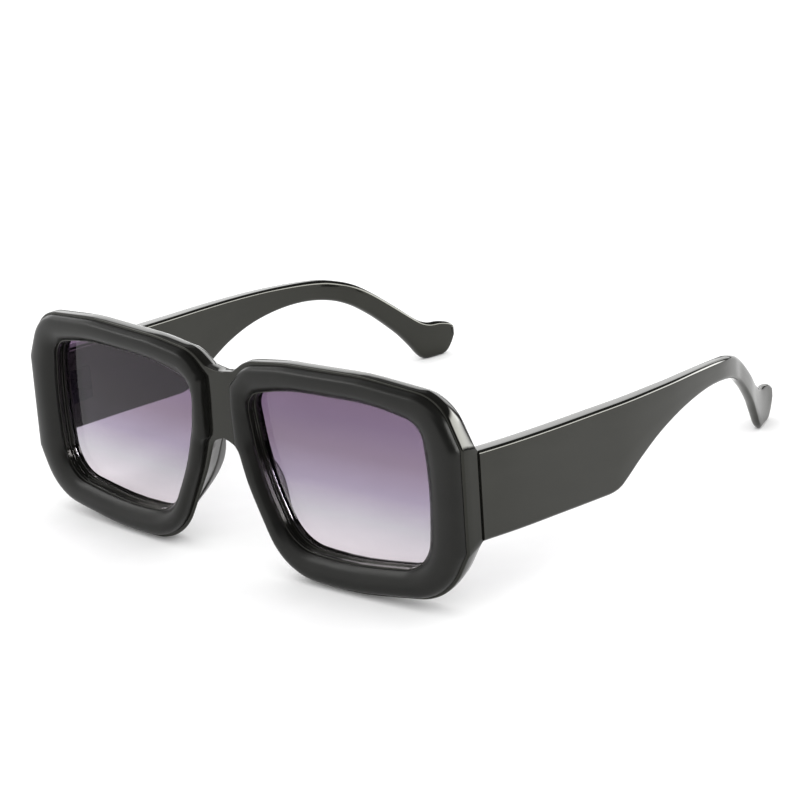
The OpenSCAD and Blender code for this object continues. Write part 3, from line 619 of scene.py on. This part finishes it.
def temple_ring(s, end):
    """Section of the temple at a share of its reach: flat faces and rounded edges. At the tip, end draws it in."""
    outer = HALF_W * float(curve(TEMPLE_PLAN, s))
    # The thickness is measured square to the outer face, so a slanting stretch is wider straight across
    half_step = 0.01
    t = min(s, 1 - 2 * half_step)
    slope = HALF_W * float(curve(TEMPLE_PLAN, t + half_step) - curve(TEMPLE_PLAN, t - half_step))
    slope /= 2 * half_step * TEMPLE_REACH
    across = TEMPLE_T * float(curve(TEMPLE_THICK, s)) * math.sqrt(1 + slope**2)
    top = TEMPLE_TOP_Z * float(curve(TEMPLE_TOP, s))
    bottom = max(0, TEMPLE_TOP_Z * float(curve(TEMPLE_BOTTOM, s)))
    extra, ear_from, ear_over = EAR_ROUND
    r = TEMPLE_ROUND * (1 + extra * min(1, max(0, (s - ear_from) / ear_over)))
    # A strip of flat face is left between two rounded edges
    r = min(r, (top - bottom) / ROUND_LIMITS[0], across / ROUND_LIMITS[1])
    x0, z0 = outer - across / 2, (top + bottom) / 2
    hw, hh = (across / 2 - r) * end, ((top - bottom) / 2 - r) * end
    r *= LEAST_ROUND + (1 - LEAST_ROUND) * end
    corners = ((1, 1), (-1, 1), (-1, -1), (1, -1))
    ring = []
    for k, (sx, sz) in enumerate(corners):
        for w in (0, 18, 36, 54, 72, 90):
            a = math.radians(90 * k + w)
            ring.append((x0 + sx * hw + r * math.cos(a), z0 + sz * hh + r * math.sin(a)))
        # Two points along the flat face up to the next corner
        nsx, nsz = corners[(k + 1) % 4]
        for f in (1 / 3, 2 / 3):
            cx, cz = x0 + (sx + (nsx - sx) * f) * hw, z0 + (sz + (nsz - sz) * f) * hh
            ring.append((cx + r * math.cos(a), cz + r * math.sin(a)))
    return ring


def make_temple():
    start = TEMPLE_TOP[0][0]
    # The first ring lies along the back of the plate
    rings = [[(x, plate_y(x, z) + PLATE_T + TEMPLE_GAP, z) for x, z in temple_ring(start, 1.0)]]
    for k in range(1, TEMPLE_RINGS + 1):
        s = start + (1 - start) * (1 - (1 - k / TEMPLE_RINGS) ** TEMPLE_CROWDING)
        y = FRONT_Y + s * TEMPLE_REACH - (TIP_ROUND if k == TEMPLE_RINGS else 0)
        rings.append([(x, y, z) for x, z in temple_ring(s, 1.0)])
    for end, back in TIP_RINGS:
        rings.append([(x, FRONT_Y + TEMPLE_REACH - back, z) for x, z in temple_ring(1, end)])
    temple = drawn_out("temple_shell_left", rings, start_cap=True, end_cap=True)
    # Room for the barrel and the screw's head, and the pocket for the leaf
    hx = HALF_W - HINGE_INSET
    hy = plate_y(hx, LEAF_HIGH) + PLATE_T + BARREL_CLEAR + BARREL_R
    cut_round(temple, hx, hy, LEAF_LOW - LEAF_CLEAR, LEAF_HIGH + LEAF_CLEAR + SCREW_HEAD_H + HEAD_CLEAR,
              BARREL_R + BARREL_CLEAR)
    lx, ly = hx + BARREL_R * LEAF_SEAT, hy + BARREL_R + BARREL_CLEAR
    cut_block(temple, (lx - PAST_LEAF - LEAF_T, hy - LEAF_CLEAR, LEAF_LOW - LEAF_CLEAR),
              (lx + LEAF_T, ly + TEMPLE_LEAF_L + LEAF_CLEAR, LEAF_HIGH + LEAF_CLEAR))
    smooth(temple, 32)
    return temple


make_front()
for left, finish, cad, body, slot in (
    (make_lens(), tinted_lens(), "lens", "front", "tinted_lens"),
    (make_pad(), pad_greyed_as_reflection, "nose_pad", "front", "pad_plastic"),
    (make_temple(), temple_polish, "temple", None, "frame_plastic"),
):
    left.data.materials.append(finish)
    right = mirrored(left, left.name.replace("_left", "_right"))
    for piece, side in ((left, "left"), (right, "right")):
        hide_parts(f"{side}_{cad}")
        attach(piece, body or f"{side}_temple")

# Screws keep bright plating, while leaves and anchor pins have black plating that hides them in the acetate
bright_metal = plated("nickel_plated_steel", "#b4b2ae", "#cfcdc8")
black_metal = plated("black_nickel_plated_steel", "#232226", "#2f2e33")
for name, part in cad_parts.items():
    if any(word in name for word in ("leaf", "screw", "pin")):
        for slot in part.material_slots:
            slot.material = bright_metal if "screw" in name else black_metal

# White sweep, studio dome and camera

bpy.ops.object.select_all(action="DESELECT")
bpy.ops.mesh.primitive_plane_add(size=6, location=(0, 0, 0))
floor = bpy.context.object
floor.name = "floor"
floor.data.materials.append(paper_white())

world = bpy.data.worlds.new("studio_dome")
bpy.context.scene.world = world
world.use_nodes = True
world.node_tree.nodes.clear()
DIRECTION = node(world, "ShaderNodeTexCoord").outputs["Generated"]


def softbox(centre, half_w, half_h, soft, strength):
    """A bright panel of the dome with soft edges. Its half sizes are sines of angles."""
    c = Vector(centre).normalized()
    across = Vector((0, 0, 1)).cross(c).normalized()
    level = c.cross(across)
    shares = []
    for way, half in ((across, half_w), (level, half_h)):
        place = node(world, "ShaderNodeVectorMath", {0: DIRECTION}, {1: way}, operation="DOT_PRODUCT")
        off = node(world, "ShaderNodeMath", {0: place.outputs["Value"]}, operation="ABSOLUTE").outputs[0]
        shares.append(node(world, "ShaderNodeMapRange", {"Value": off}, {
            "From Min": half + soft, "From Max": half, "To Min": 0.0, "To Max": 1.0},
            interpolation_type="SMOOTHSTEP").outputs["Result"])
    ahead = node(world, "ShaderNodeVectorMath", {0: DIRECTION}, {1: c}, operation="DOT_PRODUCT")
    facing = node(world, "ShaderNodeMath", {0: ahead.outputs["Value"]}, {1: 0.0},
                  operation="GREATER_THAN").outputs[0]
    box = node(world, "ShaderNodeMath", {0: shares[0], 1: shares[1]}, operation="MULTIPLY").outputs[0]
    box = node(world, "ShaderNodeMath", {0: box, 1: facing}, operation="MULTIPLY").outputs[0]
    return node(world, "ShaderNodeMath", {0: box}, {1: strength}, operation="MULTIPLY").outputs[0]


# This is no real room: the gloss mirrors a dim one with soft boxes, fitted to the bright lines and faces of
# the photograph, while all other light comes from an even white dome
DIM_ROOM, EVEN_DOME = 0.1, 1.4
dim = node(world, "ShaderNodeValue")
dim.outputs[0].default_value = DIM_ROOM
gloss = dim.outputs[0]
for box in (
    # Low, to the camera's right: the slanted corner over the near hinge, a fine line along each temple's top edge
    # and the wall of the openings beside the nose
    softbox((0.68, 0.69, 0.262), 0.5, 0.06, 0.17, 14.0),
    # Low, behind the glasses: the top faces of the front and the temples, and the foot of the near opening
    softbox((-0.65, 0.70, 0.25), 0.55, 0.14, 0.08, 2.2),
    # Wide, to the camera's left: soft bands along the padding above and below the lenses
    softbox((-0.65, -0.66, 0.38), 0.62, 0.45, 0.3, 1.25),
    # Narrow, high to the camera's left: faint streaks inside those bands
    softbox((-0.65, -0.38, 0.67), 0.3, 0.04, 0.03, 6.0),
):
    gloss = node(world, "ShaderNodeMath", {0: gloss, 1: box}, operation="ADD").outputs[0]
rays = node(world, "ShaderNodeLightPath")
strength = node(world, "ShaderNodeMapRange", {"Value": rays.outputs["Is Glossy Ray"], "To Max": gloss},
                {"To Min": EVEN_DOME})
dome = node(world, "ShaderNodeBackground", {"Strength": strength.outputs["Result"]}, {"Color": (1, 1, 1, 1)})
node(world, "ShaderNodeOutputWorld", {"Surface": dome.outputs["Background"]})

# Camera at the photograph's angle: its right, its up and the way back from its view
camera_data = bpy.data.cameras.new("camera")
camera = bpy.data.objects.new("camera", camera_data)
bpy.context.collection.objects.link(camera)
camera_data.lens, camera_data.sensor_width = 120.74, 36
camera_data.clip_start, camera_data.clip_end = 0.01, 20
right = Vector((0.74358331, 0.66357862, -0.08214182))
up = Vector((-0.16603629, 0.30224734, 0.93865782))
back = Vector((0.64770041, -0.68433176, 0.33492421))
turn = Matrix((right, up, back)).transposed()
camera.matrix_world = Matrix.Translation((0.452911, -0.487807, 0.255775)) @ turn.to_4x4()
bpy.context.scene.camera = camera
bpy.context.scene.view_settings.view_transform = "Standard"
